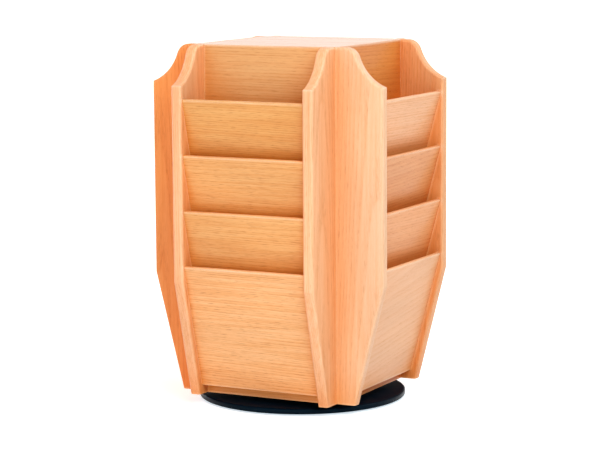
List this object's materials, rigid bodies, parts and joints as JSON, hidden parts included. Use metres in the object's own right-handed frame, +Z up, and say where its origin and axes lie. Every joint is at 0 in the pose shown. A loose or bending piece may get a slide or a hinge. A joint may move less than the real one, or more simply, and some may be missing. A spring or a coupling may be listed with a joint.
{
  "type": "revolving periodical display rack",
  "caption": "Four-sided revolving counter-top rack in oak with slanted open pockets between ogee side boards, on a round black turntable base with a ball bearing.",
  "frame": {"origin": "on the axis of rotation, at the plane that the feet stand on", "axes": "+Z up along the axis of rotation; the front bay faces -Y, the right bay +X, the rear bay +Y and the left bay -X"},
  "size_m": [0.4414, 0.4414, 0.626],
  "materials": {
    "oiled_oak": "satin clear finish on light honey oak",
    "plain_oak": "bare planed hardwood",
    "black_lacquer": "gloss black lacquer on fibreboard",
    "plated_steel": "zinc plated pressing",
    "screw_steel": "yellow passivated zinc",
    "ball_steel": "polished ball",
    "foot_rubber": "matt"
  },
  "bodies": {
    "base": {"base_disc": "black_lacquer", "rubber_feet": "foot_rubber", "bearing_lower_plate": "plated_steel", "base_screws": "screw_steel"},
    "rack": {"front_bay_left_side_board": "oiled_oak", "front_bay_right_side_board": "oiled_oak", "front_bay_back_panel": "oiled_oak", "front_bay_divider_1": "oiled_oak", "front_bay_pocket_floor_1": "oiled_oak", "front_bay_divider_2": "oiled_oak", "front_bay_pocket_floor_2": "oiled_oak", "front_bay_divider_3": "oiled_oak", "front_bay_pocket_floor_3": "oiled_oak", "front_bay_divider_4": "oiled_oak", "front_bay_pocket_floor_4": "oiled_oak", "right_bay_left_side_board": "oiled_oak", "right_bay_right_side_board": "oiled_oak", "right_bay_back_panel": "oiled_oak", "right_bay_divider_1": "oiled_oak", "right_bay_pocket_floor_1": "oiled_oak", "right_bay_divider_2": "oiled_oak", "right_bay_pocket_floor_2": "oiled_oak", "right_bay_divider_3": "oiled_oak", "right_bay_pocket_floor_3": "oiled_oak", "right_bay_divider_4": "oiled_oak", "right_bay_pocket_floor_4": "oiled_oak", "rear_bay_left_side_board": "oiled_oak", "rear_bay_right_side_board": "oiled_oak", "rear_bay_back_panel": "oiled_oak", "rear_bay_divider_1": "oiled_oak", "rear_bay_pocket_floor_1": "oiled_oak", "rear_bay_divider_2": "oiled_oak", "rear_bay_pocket_floor_2": "oiled_oak", "rear_bay_divider_3": "oiled_oak", "rear_bay_pocket_floor_3": "oiled_oak", "rear_bay_divider_4": "oiled_oak", "rear_bay_pocket_floor_4": "oiled_oak", "left_bay_left_side_board": "oiled_oak", "left_bay_right_side_board": "oiled_oak", "left_bay_back_panel": "oiled_oak", "left_bay_divider_1": "oiled_oak", "left_bay_pocket_floor_1": "oiled_oak", "left_bay_divider_2": "oiled_oak", "left_bay_pocket_floor_2": "oiled_oak", "left_bay_divider_3": "oiled_oak", "left_bay_pocket_floor_3": "oiled_oak", "left_bay_divider_4": "oiled_oak", "left_bay_pocket_floor_4": "oiled_oak", "front_right_corner_post": "plain_oak", "rear_right_corner_post": "plain_oak", "rear_left_corner_post": "plain_oak", "front_left_corner_post": "plain_oak", "top_board": "oiled_oak", "bottom_board": "plain_oak", "side_board_screws": "screw_steel", "post_screws": "screw_steel", "top_dowels": "plain_oak", "bearing_upper_plate": "plated_steel", "bearing_screws": "screw_steel"},
    "ball_ring": {"bearing_balls": "ball_steel"}
  },
  "joints": [
    {"name": "rack_spin", "type": "hinge", "parent": "base", "child": "rack", "pos_m": [0, 0, 0.0205], "axis": [0, 0, 1], "continuous": true},
    {"name": "ball_orbit", "type": "hinge", "parent": "base", "child": "ball_ring", "pos_m": [0, 0, 0.0165], "axis": [0, 0, 1], "continuous": true}
  ],
  "couplings": [
    {"joint": "ball_orbit", "follows": "rack_spin", "ratio": 0.5}
  ]
}
